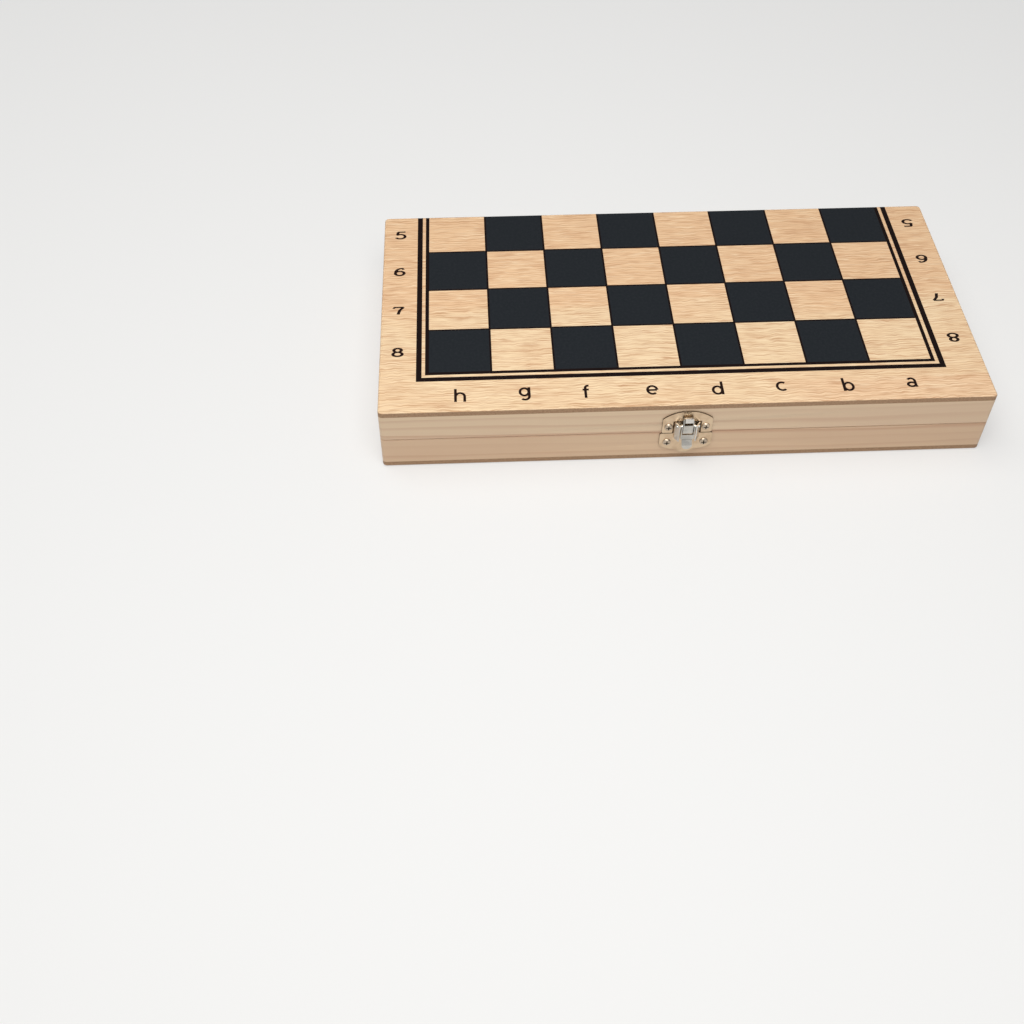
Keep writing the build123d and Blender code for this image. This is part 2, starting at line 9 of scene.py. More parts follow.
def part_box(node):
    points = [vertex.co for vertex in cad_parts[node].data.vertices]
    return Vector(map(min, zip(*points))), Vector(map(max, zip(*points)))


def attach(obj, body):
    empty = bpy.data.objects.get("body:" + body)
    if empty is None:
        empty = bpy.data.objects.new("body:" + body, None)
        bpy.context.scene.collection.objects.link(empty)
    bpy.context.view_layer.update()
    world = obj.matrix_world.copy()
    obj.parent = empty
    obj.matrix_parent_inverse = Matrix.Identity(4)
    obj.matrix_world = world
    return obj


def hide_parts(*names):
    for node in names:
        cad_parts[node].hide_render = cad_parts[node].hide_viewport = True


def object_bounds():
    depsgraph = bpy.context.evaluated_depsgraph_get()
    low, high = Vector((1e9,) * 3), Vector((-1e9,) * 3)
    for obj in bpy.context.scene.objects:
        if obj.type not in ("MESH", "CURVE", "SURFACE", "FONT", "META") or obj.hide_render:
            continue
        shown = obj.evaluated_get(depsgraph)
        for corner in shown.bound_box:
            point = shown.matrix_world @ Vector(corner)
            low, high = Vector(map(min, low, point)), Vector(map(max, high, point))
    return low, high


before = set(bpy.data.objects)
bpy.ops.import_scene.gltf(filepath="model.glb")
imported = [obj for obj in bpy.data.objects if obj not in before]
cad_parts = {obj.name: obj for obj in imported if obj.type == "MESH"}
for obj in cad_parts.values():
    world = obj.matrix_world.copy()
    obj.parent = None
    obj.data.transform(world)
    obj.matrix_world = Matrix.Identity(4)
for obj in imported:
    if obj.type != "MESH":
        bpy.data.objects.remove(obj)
cad_low, cad_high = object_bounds()
mm = 0.001


# Board panels: a 2.5 mm sheet of brown fibreboard closes each tray, glued over its four walls.
# The face is laid with printed beech, carries half a chessboard and has its edges eased by hand.
panel_thickness = 2.5 * mm
panel_corner = 1.6 * mm
panel_easing_run = 0.9 * mm
panel_easing_drop = 0.65 * mm
ink_depth = 0.02 * mm
board_length = cad_high.x - cad_low.x
board_half_length = board_length / 2
board_half_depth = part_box("lower_board_panel")[1].y
side_margin = 19.9 * mm
square = (board_length - 2 * side_margin) / 8
print_shift = -0.67 * mm
panel_edge_steps = 6
rule_half_width = 0.4 * mm
thin_line = (0.0, 1.1 * mm)
thick_line = (2.45 * mm, 4.65 * mm)
vein_pitch = 1.3 * mm


def srgb(red, green, blue):
    """Linear colour of a paint chip given in 0 to 255: up to 0.04045 it is c / 12.92, and from there
    ((c + 0.055) / 1.055) to the power 2.4."""
    c = np.array([red, green, blue]) / 255
    linear = np.where(c <= 0.04045, c / 12.92, ((c + 0.055) / 1.055) ** 2.4)
    return (*linear.tolist(), 1.0)


class Socket:
    """A shader value. The operators + - * / on it add the Math nodes that work them out."""

    def __init__(self, tree, link):
        self.tree, self.link = tree, link

    def math(self, operation, *others):
        return self.tree.node("ShaderNodeMath", {"operation": operation}, [self, *others])

    def __add__(self, other):
        return self.math("ADD", other)

    __radd__ = __add__

    def __mul__(self, other):
        return self.math("MULTIPLY", other)

    def __sub__(self, other):
        return self.math("SUBTRACT", other)

    def __rsub__(self, other):
        return self.math("MULTIPLY", -1) + other

    def __truediv__(self, other):
        return self.math("DIVIDE", other)

    def __gt__(self, other):
        return self.math("GREATER_THAN", other)

    def __lt__(self, other):
        return self.math("LESS_THAN", other)


class Finish:
    """One material. node() adds any node: its settings are set first, then its sockets."""

    def __init__(self, name):
        self.material = bpy.data.materials.new(name)
        self.material.use_nodes = True
        self.nodes = self.material.node_tree.nodes
        self.links = self.material.node_tree.links
        self.surface = self.nodes["Principled BSDF"]
        self.place = Socket(self, self.nodes.new("ShaderNodeTexCoord").outputs["Object"])
        self.x, self.y, self.z = self.split(self.place)

    def node(self, kind, settings=(), sockets=(), output=0):
        made = self.nodes.new(kind)
        for name, value in dict(settings).items():
            setattr(made, name, value)
        named = sockets.items() if isinstance(sockets, dict) else enumerate(sockets)
        for name, value in named:
            self.feed(made.inputs[name], value)
        return Socket(self, made.outputs[output])

    def feed(self, socket, value):
        if isinstance(value, Socket):
            self.links.new(value.link, socket)
        else:
            socket.default_value = value

    def split(self, vector):
        made = self.nodes.new("ShaderNodeSeparateXYZ")
        self.links.new(vector.link, made.inputs[0])
        return [Socket(self, out) for out in made.outputs]

    def join(self, x, y, z):
        return self.node("ShaderNodeCombineXYZ", {}, [x, y, z])

    def stretch(self, vector, x, y, z):
        return self.node("ShaderNodeVectorMath", {"operation": "MULTIPLY"}, [vector, (x, y, z)])

    def noise(self, place, scale, detail=2.0, roughness=0.5):
        sockets = {"Vector": place, "Scale": scale, "Detail": detail, "Roughness": roughness}
        return self.node("ShaderNodeTexNoise", {}, sockets)

    def ramp(self, value, low, high):
        """0 up to low, 1 from high, and a smooth step between."""
        sockets = {"Value": value, "From Min": low, "From Max": high}
        return self.node("ShaderNodeMapRange", {"interpolation_type": "SMOOTHSTEP"}, sockets)

    def blend(self, share, first, second):
        """A colour share of the way from the first to the second."""
        made = self.nodes.new("ShaderNodeMix")
        made.data_type = "RGBA"
        for name, value in (("Factor_Float", share), ("A_Color", first), ("B_Color", second)):
            self.feed(next(i for i in made.inputs if i.identifier == name), value)
        return Socket(self, next(o for o in made.outputs if o.identifier == "Result_Color"))

    def bump(self, height, strength, distance):
        sockets = {"Height": height, "Strength": strength, "Distance": distance}
        self.finish(Normal=self.node("ShaderNodeBump", {}, sockets))

    def finish(self, **values):
        for name, value in values.items():
            self.feed(self.surface.inputs[name.replace("_", " ")], value)
        return self.material


def printed_beech(finish):
    """Tan ground, pinker towards the fold and at the front right, crossed by fine veins along X. A
    vein is the middle of each 1.3 mm of Y, and two noises, a slow one and a quick one, bend them
    all alike, while noises stretched along X part them, fade them and add pale bands and threads."""
    slow = finish.noise(finish.stretch(finish.place, 40.0, 90.0, 0.0), 1.0, 1.0)
    quick = finish.noise(finish.stretch(finish.place, 260.0, 170.0, 0.0), 1.0, 1.0)
    bent_y = finish.y + slow * (3.0 * mm) + quick * (1.5 * mm)
    bent = finish.join(finish.x, bent_y, 0.0)
    line = finish.noise(finish.stretch(bent, 55.0, 1350.0, 0.0), 1.0, 1.0)
    thread = finish.noise(finish.stretch(bent, 110.0, 3000.0, 0.0), 1.0, 1.0)
    cloud = finish.noise(finish.stretch(bent, 22.0, 60.0, 0.0), 1.0, 1.0)
    near_fold = finish.ramp(bent_y + cloud * (24.0 * mm), 4.0 * mm, 17.0 * mm)
    ground = finish.blend(near_fold, srgb(242, 214, 174), srgb(236, 198, 157))
    ground = finish.blend(finish.ramp(cloud, 0.4, 0.62) * 0.28, ground, srgb(235, 195, 153))
    to_right = finish.ramp(finish.x, 20.0 * mm, 60.0 * mm)
    reddish = to_right * finish.ramp(bent_y, -44.0 * mm, -49.0 * mm)
    ground = finish.blend(reddish * 0.6, ground, srgb(237, 196, 158))
    pale_band = finish.ramp((line - 0.4).math("ABSOLUTE"), 0.07, 0.0)
    vein = (bent_y / vein_pitch + line * 1.8).math("FRACT")
    faded = finish.noise(finish.stretch(bent, 70.0, 500.0, 0.0), 1.0, 1.0)
    strong = finish.ramp(faded, 0.35, 0.62) * 0.8 + 0.2
    dark_vein = finish.ramp((vein - 0.5).math("ABSOLUTE"), 0.3, 0.0) * strong
    ground = finish.blend(pale_band * 0.6, ground, srgb(252, 228, 192))
    ground = finish.blend(dark_vein * 0.75, ground, srgb(198, 149, 110))
    return finish.blend(finish.ramp(thread, 0.5, 0.62) * 0.5, ground, srgb(190, 143, 106))


def board_print(name, fold_side_dark):
    """Printed face. With the place counted in squares from the left edge and from the fold, a
    square is dark where the sum of its column and row is odd, or even on the other half. Thin
    lines part the squares, and a thin and a thick line frame them."""
    finish = Finish(name)
    across = finish.x - print_shift
    column = across / square + 4.0
    row = (board_half_depth - finish.y) / square
    parity = (column.math("FLOOR") + row.math("FLOOR") + fold_side_dark).math("MODULO", 2.0)
    past_side = across.math("ABSOLUTE") - 4 * square
    past_front = board_half_depth - 4 * square - finish.y
    outside = past_side.math("MAXIMUM", past_front)
    on_grid = outside < 0.0
    from_column = (column - column.math("ROUND")).math("ABSOLUTE")
    from_row = (row - row.math("ROUND")).math("ABSOLUTE")
    ruled = on_grid * (from_column.math("MINIMUM", from_row) < rule_half_width / square)
    thin, thick = ((outside > start) * (outside < end) for start, end in (thin_line, thick_line))
    lines = (ruled + thin + thick).math("MINIMUM", 1.0)
    dust = finish.noise(finish.place, 900.0, 3.0, 0.7)
    charcoal = finish.blend(finish.ramp(dust, 0.35, 0.75), srgb(30, 34, 38), srgb(37, 40, 44))
    colour = finish.blend(on_grid * parity, printed_beech(finish), charcoal)
    colour = finish.blend(lines, colour, srgb(20, 9, 8))
    inked = (on_grid * parity + lines).math("MINIMUM", 1.0)
    finish.bump(finish.noise(finish.place, 700.0, 3.0), 0.05, 0.05 * mm)
    roughness = 0.55 - inked * 0.05 + dust * 0.1
    return finish.finish(Base_Color=colour, Roughness=roughness, Specular_IOR_Level=0.08)


def fibreboard(name):
    """Pressed brown fibres: two noises of different grain over a plain brown."""
    finish = Finish(name)
    coarse = finish.noise(finish.place, 1300.0, 3.0, 0.7)
    fine = finish.noise(finish.place, 4200.0, 2.0, 0.7)
    colour = finish.blend(finish.ramp(coarse, 0.35, 0.7), srgb(176, 142, 109), srgb(150, 116, 86))
    colour = finish.blend(finish.ramp(fine, 0.5, 0.75) * 0.4, colour, srgb(128, 96, 72))
    finish.bump(fine, 0.25, 0.1 * mm)
    return finish.finish(Base_Color=colour, Roughness=0.62)


def rounded_outline(half_x, half_y, radius, steps=7):
    """Rounded rectangle, anticlockwise: four quarter circles about its corner centres."""
    turn = np.linspace(0, np.pi / 2, steps)
    quarter = np.arange(4)[:, None] * np.pi / 2 + turn
    centre_x = np.array([1, -1, -1, 1])[:, None] * (half_x - radius)
    centre_y = np.array([1, 1, -1, -1])[:, None] * (half_y - radius)
    x, y = centre_x + radius * np.cos(quarter), centre_y + radius * np.sin(quarter)
    return np.stack([x, y], -1).reshape(-1, 2)


def new_piece(name, points, faces, material):
    """An object with a mesh of these points and faces, all of one material."""
    mesh = bpy.data.meshes.new(name)
    mesh.from_pydata(np.asarray(points).reshape(-1, 3).tolist(), [], faces)
    mesh.update()
    mesh.materials.append(material)
    piece = bpy.data.objects.new(name, mesh)
    bpy.context.scene.collection.objects.link(piece)
    return piece


def skin(count, size, looped=False):
    """Faces over a stack of rings of equal size: capped at both ends, or joined into a loop."""
    ring = np.arange(count if looped else count - 1)[:, None]
    point = np.arange(size)
    near, far = ring * size, (ring + 1) % count * size
    after = (point + 1) % size
    sides = np.stack([near + point, near + after, far + after, far + point], -1).reshape(-1, 4)
    last = (count - 1) * size
    caps = [] if looped else [list(range(size))[::-1], list(range(last, last + size))]
    return sides.tolist() + caps


def board_panel(name, body, outward, face, core):
    """Slab whose rings follow the edge: square at the glued side, a quarter of an ellipse at the
    face. The printed layer reaches from the face over two thirds of that rounding."""
    low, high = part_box(name)
    half_x, half_y = (high.x - low.x) / 2, (high.y - low.y) / 2
    turn = np.linspace(0, np.pi / 2, panel_edge_steps + 1)
    inset = np.concatenate([[0], panel_easing_run * (1 - np.cos(turn))])
    rise = panel_thickness - ink_depth - panel_easing_drop * (1 - np.sin(turn))
    rise = np.concatenate([[0], rise])
    glued_side = low.z if outward > 0 else high.z
    rings = []
    for step, height in zip(inset, rise):
        ring = rounded_outline(half_x - step, half_y - step, panel_corner)
        rings.append(np.column_stack([ring, np.full(len(ring), glued_side + outward * height)]))
    size = len(rings[0])
    faces = skin(len(rings), size)
    if outward < 0:
        faces = [side[::-1] for side in faces]
    piece = new_piece(name.replace("board_panel", "printed_panel"), rings, faces, core)
    piece.data.materials.append(face)
    first_printed = 1 + panel_edge_steps // 3
    printed = [*range(first_printed * size, (1 + panel_edge_steps) * size), len(faces) - 1]
    for side in printed:
        piece.data.polygons[side].material_index = 1
    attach(piece, body)
    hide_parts(name)


panel_core = fibreboard("brown_fibreboard")
board_panel("upper_board_panel", "upper_half", 1, board_print("black_side_print", 0.0), panel_core)
board_panel("lower_board_panel", "lower_half", -1, board_print("white_side_print", 1.0), panel_core)


# Coordinates: letters along the front margin of each half and numbers up both sides, printed in
# near-black ink 0.02 mm thick. They are drawn as with a pen: an even one for the letters and a
# flat one for the numbers, thick on the way down and thin across. The letters drift off centre.
letter_pen = (1.06 * mm, 0.98 * mm)
digit_pen = (1.3 * mm, 0.78 * mm)
letter_line = 8.65 * mm - board_half_depth
letter_drift = {"f": -1.2 * mm, "e": -0.4 * mm, "b": 1.2 * mm, "a": 1.3 * mm}
digit_column = 112.2 * mm
stroke_step = 0.001 * mm

# Strokes in millimetres. A pair is a point, and six numbers are an arc: its centre, its two radii
# and its first and last angle in degrees
letter_strokes = {
    "a": [[(2.05, 3.45, 1.4, 1.35, 150, 0), (3.45, 1.0), (3.8, 0.1)], [(1.95, 1.5, 1.5, 1.1, 0, 360)]],
    "b": [[(0.45, 0), (0.45, 7.1)], [(2.3, 2.45, 1.75, 2.05, 0, 360)]],
    "c": [[(2.4, 2.55, 1.95, 2.15, 55, 310)]],
    "d": [[(2.2, 2.45, 1.75, 2.05, 0, 360)], [(4.05, 0), (4.05, 7.1)]],
    "e": [[(0.6, 2.5), (4.0, 2.5)], [(2.25, 2.55, 1.85, 2.15, 0, 312)]],
    "f": [[(1.5, 0), (1.5, 5.5), (2.65, 5.5, 1.15, 1.2, 175, 75)], [(0.4, 4.55), (2.85, 4.55)]],
    "g": [[(2.1, 2.75, 1.7, 2.0, 0, 360)], [(3.95, 5.2), (3.95, 0.4), (2.3, 0.3, 1.65, 1.8, -5, -135)]],
    "h": [[(0.45, 0), (0.45, 7.1)], [(2.25, 2.9, 1.75, 1.85, 168, 0), (4.0, 0)]],
}
digit_strokes = {
    "1": [[(0.1, -2.2), (0.1, 2.3)], [(-1.2, 1.5), (0.1, 2.2)], [(-1.5, -2.2), (1.6, -2.2)]],
    "2": [[(0, 1.05, 1.65, 1.15, 165, -35), (-1.7, -2.1)], [(-1.8, -2.15), (1.95, -2.15), (2.05, -1.5)]],
    "3": [[(0, 1.15, 1.5, 1.05, 155, -85)], [(0, -1.05, 1.8, 1.2, 88, -150)]],
    "4": [[(0.8, -2.2), (0.8, 2.3)], [(0.8, 2.3), (-1.9, -0.85)], [(-2.0, -0.85), (2.0, -0.85)]],
    "5": [[(-1.3, 2.35), (2.1, 2.4)], [(-1.05, 2.35), (-1.35, 0.3)], [(-0.1, -0.8, 2.05, 1.5, 140, -155)]],
    "6": [[(0, -0.85, 1.85, 1.4, 0, 360)], [(0.9, -0.5, 2.75, 2.85, 75, 172)], [(1.3, 1.95), (1.6, 1.6)]],
    "7": [[(-2.0, 1.3), (-1.8, 2.1), (2.05, 2.1)], [(1.95, 2.1), (0.4, 0.2), (-0.2, -2.3)]],
    "8": [[(0, 1.2, 1.5, 1.1, 0, 360)], [(0, -1.15, 1.85, 1.2, 0, 360)]],
}


def ink():
    """Near-black ink, turned brown in places by a fine noise."""
    finish = Finish("coordinate_ink")
    cloud = finish.noise(finish.place, 1500.0, 2.0)
    colour = finish.blend(cloud, srgb(18, 8, 6), srgb(36, 18, 12))
    return finish.finish(Base_Color=colour, Roughness=0.5, Specular_IOR_Level=0.1)


def stroke_path(parts):
    """Points of one stroke: straight parts as given, and arcs in steps of under 12 degrees, each at
    its centre plus the radii times the cosine and sine of the turn."""
    path = []
    for part in parts:
        if len(part) == 2:
            path.append(np.array([part]))
        else:
            x, y, radius_x, radius_y, first, last = part
            turn = np.radians(np.linspace(first, last, int(abs(last - first) / 12) + 2))
            path.append(np.column_stack([x + radius_x * np.cos(turn), y + radius_y * np.sin(turn)]))
    return np.concatenate(path) * mm


def pen_stroke(path, pen, height, looped):
    """Rings of four points along a stroke. An oval pen of half widths a and b, drawn along a line
    with the normal (u, v), reaches to each side by (a*a*u, b*b*v) / sqrt(a*a*u*u + b*b*v*v)."""
    if looped:
        along = np.roll(path, -1, 0) - np.roll(path, 1, 0)
    else:
        along = np.gradient(path, axis=0)
    normal = np.column_stack([-along[:, 1], along[:, 0]]) / np.linalg.norm(along, axis=1)[:, None]
    half = np.array(pen) / 2
    reach = half**2 * normal / np.linalg.norm(half * normal, axis=1)[:, None]
    near, far = path + reach, path - reach
    corners = [(near, height), (far, height), (far, 0.0), (near, 0.0)]
    return np.stack([np.column_stack([side, np.full(len(side), z)]) for side, z in corners], 1)


def coordinates(name, body, panel, outward, letters, ranks):
    """Characters of one half as its player sees them, to the right and away from the player. On
    the base, whose face looks down, right is towards -X."""
    low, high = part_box(panel)
    face_height = high.z if outward > 0 else -low.z
    rows = board_half_depth - (np.arange(4) + 0.5) * square
    files = (np.arange(8) - 3.5) * square + outward * print_shift
    placed = []
    for letter, x in zip(letters, files):
        place = (x + letter_drift.get(letter, 0.0), letter_line)
        placed.append((letter_strokes[letter], letter_pen, place, 1))
    for rank, y in zip(ranks, rows):
        for side in (-1, 1):
            place = (side * digit_column + outward * print_shift, y)
            placed.append((digit_strokes[rank], digit_pen, place, -side))
    points, faces = [], []
    for strokes, pen, place, heading in placed:
        paths = [stroke_path(parts) for parts in strokes]
        every = np.concatenate(paths)
        middle = (every.min(0) + every.max(0)) / 2
        for number, (parts, path) in enumerate(zip(strokes, paths)):
            looped = len(parts) == 1 and len(parts[0]) == 6 and parts[0][5] == 360
            path = path[:-1] if looped else path
            height = ink_depth - number * stroke_step
            rings = pen_stroke((path - middle) * heading + place, pen, height, looped)
            rings[:, :, 2] += face_height - ink_depth
            first = sum(len(ring) for ring in points) * 4
            points.append(rings * np.array([outward, 1.0, outward]))
            faces += [[first + v for v in side] for side in skin(len(path), 4, looped)]
    piece = new_piece(name, np.concatenate(points), faces, coordinate_ink)
    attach(piece, body)


coordinate_ink = ink()
coordinates("black_side_coordinates", "upper_half", "upper_board_panel", 1, "hgfedcba", "5678")
coordinates("white_side_coordinates", "lower_half", "lower_board_panel", -1, "abcdefgh", "4321")


# Walls: strips of knot-free pine, 8 mm thick, sawn along the grain, sanded and clear lacquered.
# The long walls run past the ends of the short ones, so their end grain shows at the corners.
wall_names = ["front", "rear", "left", "right"]
wall_easing = 0.25 * mm
ring_width = 4.6 * mm
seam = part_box("lower_front_wall")[1].z


def eased(node, name, width, slack=math.radians(32)):
    """The node's own surface, merged and with flat areas made whole, its sharp edges rounded."""
    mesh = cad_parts[node].data.copy()
    shape = bmesh.new()
    shape.from_mesh(mesh)
    bmesh.ops.remove_doubles(shape, verts=shape.verts, dist=1e-6)
    flat = math.radians(0.6)
    bmesh.ops.dissolve_limit(shape, angle_limit=flat, verts=shape.verts, edges=shape.edges)
    bmesh.ops.recalc_face_normals(shape, faces=shape.faces)
    shape.to_mesh(mesh)
    shape.free()
    piece = bpy.data.objects.new(name, mesh)
    bpy.context.scene.collection.objects.link(piece)
    bevel = piece.modifiers.new("rolled_edge", "BEVEL")
    bevel.width, bevel.segments = width, 2
    bevel.limit_method, bevel.angle_limit = "ANGLE", slack
    mesh.polygons.foreach_set("use_smooth", [True] * len(mesh.polygons))
    mesh.set_sharp_from_angle(angle=slack)
    return piece


def pine(name, along_x, heart, early_wood, late_wood):
    """Growth rings about a heart line far outside the strip: the ring number is the distance from
    that line over the ring width, bent by a slow noise. Late wood is the sharp end of each ring,
    and a noise along the rings makes some of them strong and some of them hardly seen. Outside,
    the edge at the seam is darkened as painted shade."""
    finish = Finish(name)
    x, y, z = finish.x, finish.y, finish.z
    along, across = (x, y) if along_x else (y, x)
    slow = finish.noise(finish.join(along * 7.0, across * 60.0, z * 70.0), 1.0) * (7.0 * mm)
    side, rise = across - heart[0], z - heart[1]
    distance = (side * side + rise * rise).math("SQRT") + slow
    ring = (distance / ring_width).math("FRACT")
    growth = finish.noise(finish.join(distance * 170.0, along * 2.0, 0.0), 1.0, 1.0)
    strong = finish.ramp(growth, 0.4, 0.65) * 0.8 + 0.2
    late = finish.ramp(ring, 0.5, 0.95) * (1.0 - finish.ramp(ring, 0.95, 1.0)) * strong
    fibre = finish.noise(finish.join(along * 50.0, across * 2600.0, z * 2600.0), 1.0, 3.0, 0.6)
    cloud = finish.noise(finish.join(along * 12.0, across * 90.0, z * 90.0), 1.0)
    colour = finish.blend(finish.ramp(cloud, 0.35, 0.68) * 0.5, early_wood, late_wood)
    colour = finish.blend(late * 0.62, colour, srgb(196, 150, 120))
    colour = finish.blend(finish.ramp(fibre, 0.5, 0.8) * 0.12, colour, srgb(190, 152, 122))
    past_side = x.math("ABSOLUTE") - board_half_length
    past_face = past_side.math("MAXIMUM", y.math("ABSOLUTE") - board_half_depth)
    # Painted shade: a brown band along the outside of the seam, where the lid meets the base.
    near_seam = finish.ramp((z - seam).math("ABSOLUTE"), 0.5 * mm, 0.15 * mm)
    rim = near_seam * (past_face > -wall_easing)
    colour = finish.blend(rim * 0.45, colour, srgb(150, 110, 84))
    finish.bump(fibre - late * 0.4, 0.1, 0.05 * mm)
    finish.finish(Base_Color=colour, Roughness=0.46 + late * 0.08)
    return finish.finish(Coat_Weight=0.08, Coat_Roughness=0.3)


heart_beside = (-0.05, 0.04)
heart_below = -0.03
heart_step = (-0.004, -0.007)
wall_tones = {
    "upper": (srgb(225, 198, 166), srgb(220, 188, 158)),
    "lower": (srgb(221, 190, 157), srgb(215, 180, 148)),
}
for index, (tray, wall) in enumerate((t, w) for t in ("lower", "upper") for w in wall_names):
    node = f"{tray}_{wall}_wall"
    along_x = wall in ("front", "rear")
    heart = (heart_beside[index % 2] + heart_step[0] * index, heart_below + heart_step[1] * index)
    strip = eased(node, f"{tray}_{wall}_strip", wall_easing)
    strip.data.materials.clear()
    strip.data.materials.append(pine(f"pine_{tray}_{wall}", along_x, heart, *wall_tones[tray]))
    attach(strip, f"{tray}_half")
    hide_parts(node)


# Hinges: two brass-plated butt hinges let into the rear rims, three knuckles each on a steel pin.
# Four countersunk screws hold each pair of leaves, with a cross pressed into each head.
def plated(name, light, dark, roughness, brush=(1.0, 1.0, 1.0), proud_reflection=None):
    """Plating: a slow noise tints the metal and a stretched fine one varies its roughness. It can
    turn to another colour as painted reflection, from one place in Y on and fully past a second,
    further out."""
    finish = Finish(name)
    tone = finish.noise(finish.place, 300.0, 3.0)
    scratch = finish.noise(finish.stretch(finish.place, *brush), 2200.0, 3.0, 0.65)
    colour = finish.blend(finish.ramp(tone, 0.35, 0.7), light, dark)
    # Painted reflection: past the given place in Y the colour turns to the reflected tone.
    if proud_reflection:
        reflected_tone, start, end = proud_reflection
        colour = finish.blend(1.0 - finish.ramp(finish.y, end, start), colour, reflected_tone)
    finish.bump(scratch, 0.08, 0.02 * mm)
    return finish.finish(Base_Color=colour, Metallic=1.0, Roughness=roughness + scratch * 0.12)


brass = plated("brass_plate", srgb(214, 182, 118), srgb(190, 156, 96), 0.34, (0.3, 1.0, 1.0))
steel = plated("pin_steel", srgb(190, 188, 182), srgb(168, 166, 160), 0.25)
for name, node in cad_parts.items():
    if "hinge" in name:
        node.data.materials.clear()
        node.data.materials.append(steel if name.endswith("pin") else brass)


# Latch: an over-centre draw latch stamped from 0.5 and 0.6 mm steel and nickel plated. Each part
# keeps its modelled form, with the burr of every sheared edge rolled off to a small round.
edge_round = 0.1 * mm
plate_sheet = 0.6 * mm
screw_head_height = 0.75 * mm
cross_reach = 1.05 * mm
latch_parts = {
    "latch_catch_plate": ("catch_plate", "upper_half"),
    "latch_base_plate": ("base_plate", "lower_half"),
    "latch_lever": ("lever", "latch_lever"),
    "latch_link": ("link", "latch_link"),
    "latch_lever_rivets": ("lever_rivets", "latch_lever"),
    "latch_link_pin": ("link_pin", "latch_lever"),
    "latch_catch_screws": ("catch_screws", "upper_half"),
    "latch_base_screws": ("base_screws", "lower_half"),
}
wall_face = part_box("upper_front_wall")[0].y
plate_face = wall_face - plate_sheet
head_face = plate_face - screw_head_height
upright = (1.0, 1.0, 0.25)
# Painted reflection: the warm tone of the plates is partly the nickel's own and partly the wooden box
# reflected in it. Parts standing proud of the plates, the hook and the ears, are painted pale and neutral
# as if reflecting the room.
proud_reflection = (srgb(214, 211, 205), plate_face - 0.1 * mm, plate_face - 0.7 * mm)
warm_nickel = plated("warm_nickel_plate", srgb(216, 192, 162), srgb(200, 174, 144), 0.24, upright, proud_reflection)
bright_nickel = plated("bright_nickel_plate", srgb(198, 194, 186), srgb(172, 169, 163), 0.16, upright)
screw_nickel = plated("screw_nickel_plate", srgb(196, 180, 160), srgb(160, 146, 130), 0.3)
# Painted shade: the crosses in the screw heads are painted near-black where shade falls in them.
recess_black = plated("recess_black", srgb(46, 40, 36), srgb(28, 24, 22), 0.5)
# Painted shade: the plates' cut edges are painted dark brown, standing for shade and dark reflection along
# them.
cut_edge_painted_shade = plated("cut_edge_painted_shade", srgb(112, 96, 78), srgb(84, 72, 60), 0.4)
for node, (name, body) in latch_parts.items():
    piece = eased(node, name, edge_round)
    piece.data.materials.clear()
    if name.endswith("_plate"):
        piece.data.materials.append(warm_nickel)
        piece.data.materials.append(cut_edge_painted_shade)
        # Faces across the sheet's thickness get the painted shade.
        for side in piece.data.polygons:
            if plate_face < side.center.y < wall_face and abs(side.normal.y) < 0.5:
                side.material_index = 1
    elif name.endswith("_screws"):
        piece.data.materials.append(screw_nickel)
        piece.data.materials.append(recess_black)
        low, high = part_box(node)
        screw_x = high.x - (high.z - low.z) / 2
        middle = (high.z + low.z) / 2
        # Faces inside the cross recess get the painted shade.
        for side in piece.data.polygons:
            away = math.hypot(abs(side.center.x) - screw_x, side.center.z - middle)
            if away < cross_reach and head_face + 0.05 * mm < side.center.y < plate_face:
                side.material_index = 1
    else:
        piece.data.materials.append(bright_nickel)
    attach(piece, body)
    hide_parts(node)


# Chessmen: turned in a pale close-grained wood and lacquered, half of them stained dark first.
def turned_wood(name, light, dark, gloss):
    """Fine grain along Y, the way the men lie: two noises stretched along the axis."""
    finish = Finish(name)
    grain = finish.join(finish.x * 700.0, finish.y * 45.0, finish.z * 700.0)
    vein = finish.noise(grain, 1.0, 3.0, 0.6)
    broad = finish.noise(finish.join(finish.x * 90.0, finish.y * 12.0, finish.z * 90.0), 1.0, 2.0)
    colour = finish.blend(finish.ramp(vein, 0.35, 0.7) * 0.7 + broad * 0.3, light, dark)
    finish.bump(vein, 0.06, 0.05 * mm)
    return finish.finish(Base_Color=colour, Roughness=gloss, Coat_Weight=0.3, Coat_Roughness=0.2)


pale = turned_wood("pale_lacquered_wood", srgb(229, 196, 140), srgb(206, 166, 106), 0.38)
dark = turned_wood("dark_stained_wood", srgb(62, 42, 32), srgb(36, 24, 19), 0.34)
for name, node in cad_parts.items():
    if name.startswith(("white_", "black_")):
        node.data.materials.clear()
        node.data.materials.append(pale if name.startswith("white_") else dark)


# Knights: a turned foot with a head carved from board and glued on top. They lie on their cheeks
# with the foot's rim on the floor of the tray, half of them with the foot at each long wall.
# Rows of the head: place on the mane side, place on the chest side and half the thickness. Across
# and thickness are in shares of the foot's radius, height in shares of the head's height
head_rows = np.array([
    [-0.54, -0.02, 0.54, -0.02, 0.38],
    [-0.64, 0.18, 0.54, 0.13, 0.39],
    [-0.68, 0.38, 0.48, 0.26, 0.37],
    [-0.63, 0.57, 0.37, 0.37, 0.33],
    [-0.50, 0.71, 0.27, 0.45, 0.31],
    [-0.27, 0.83, 0.23, 0.50, 0.33],
    [-0.05, 0.89, 0.26, 0.50, 0.35],
    [0.13, 0.87, 0.34, 0.485, 0.34],
    [0.33, 0.80, 0.47, 0.475, 0.28],
    [0.54, 0.72, 0.60, 0.475, 0.23],
    [0.71, 0.66, 0.70, 0.48, 0.24],
    [0.80, 0.61, 0.77, 0.50, 0.20],
    [0.83, 0.58, 0.81, 0.535, 0.10],
])
